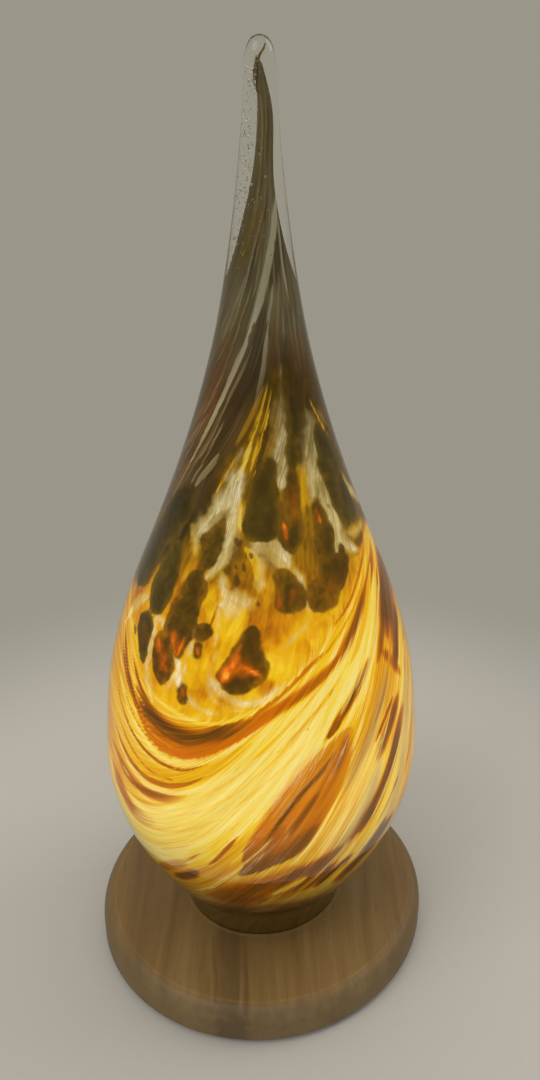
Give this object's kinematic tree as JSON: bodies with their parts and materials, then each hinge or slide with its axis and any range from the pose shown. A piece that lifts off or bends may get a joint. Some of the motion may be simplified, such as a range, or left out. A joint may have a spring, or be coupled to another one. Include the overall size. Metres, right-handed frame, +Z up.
{
  "type": "glass table lamp",
  "caption": "Tall drop-shaped shade of swirled amber glass over a small screw-in bulb, standing on a turned wooden disc.",
  "frame": {"origin": "centre of the bottom of the felt pads, on the surface that the lamp stands on", "axes": "+Z up along the axis of the glass, -Y to the front, +Y to the back where the cable bush is, +X to the right seen from the front"},
  "size_m": [0.16, 0.1598, 0.3895],
  "materials": {
    "clear_glass": "clear, fire-polished, thick in the tip",
    "coloured_glass": "swirled amber, cream and brown, lit from inside",
    "beech": "turned and oiled",
    "felt": "pressed felt",
    "fibreboard": "hard fibreboard",
    "black_plastic": "moulded",
    "zinc_steel": "zinc plated",
    "brass": "plain",
    "nickel": "nickel plated",
    "porcelain": "glazed",
    "opal": "opal, lit",
    "white_plastic": "moulded",
    "led_board": "white solder mask",
    "driver_board": "laminate",
    "black_glass": "fused",
    "solder": "tinned"
  },
  "bodies": {
    "base": {"felt_pad_1": "felt", "felt_pad_2": "felt", "felt_pad_3": "felt", "felt_pad_4": "felt", "wooden_base": "beech", "bottom_cover": "fibreboard", "cover_screw_1": "zinc_steel", "cover_screw_2": "zinc_steel", "cover_screw_3": "zinc_steel", "cable_bush": "black_plastic", "threaded_tube": "zinc_steel", "washer": "zinc_steel", "lower_nut": "brass", "upper_nut": "brass", "holder_bracket": "zinc_steel", "bracket_screw_left": "zinc_steel", "bracket_screw_right": "zinc_steel", "holder_body": "porcelain", "threaded_shell": "nickel", "centre_contact": "brass", "side_contact": "brass", "live_terminal": "brass", "neutral_terminal": "brass", "live_terminal_screw": "zinc_steel", "neutral_terminal_screw": "zinc_steel"},
    "shade": {"glass_casing": "clear_glass", "colour_core": "coloured_glass"},
    "bulb_tip": {"bulb_tip_contact": "solder", "bulb_insulator": "black_glass"},
    "bulb": {"bulb_screw_cap": "nickel", "bulb_housing": "white_plastic", "led_board": "led_board", "driver_board": "driver_board", "bulb_globe": "opal"}
  },
  "joints": [
    {"name": "shade_lift", "type": "slide", "parent": "base", "child": "shade", "axis": [0, 0, 1], "range_m": [0, 0.125]},
    {"name": "bulb_rise", "type": "slide", "parent": "base", "child": "bulb_tip", "axis": [0, 0, 1], "range_m": [0, 0.0142]},
    {"name": "bulb_turn", "type": "hinge", "parent": "bulb_tip", "child": "bulb", "pos_m": [0, 0, 0.05], "axis": [0, 0, 1], "range_deg": [0, 1800]}
  ],
  "couplings": [
    {"joint": "bulb_rise", "follows": "bulb_turn", "m_per_rad": 0.00044913}
  ]
}
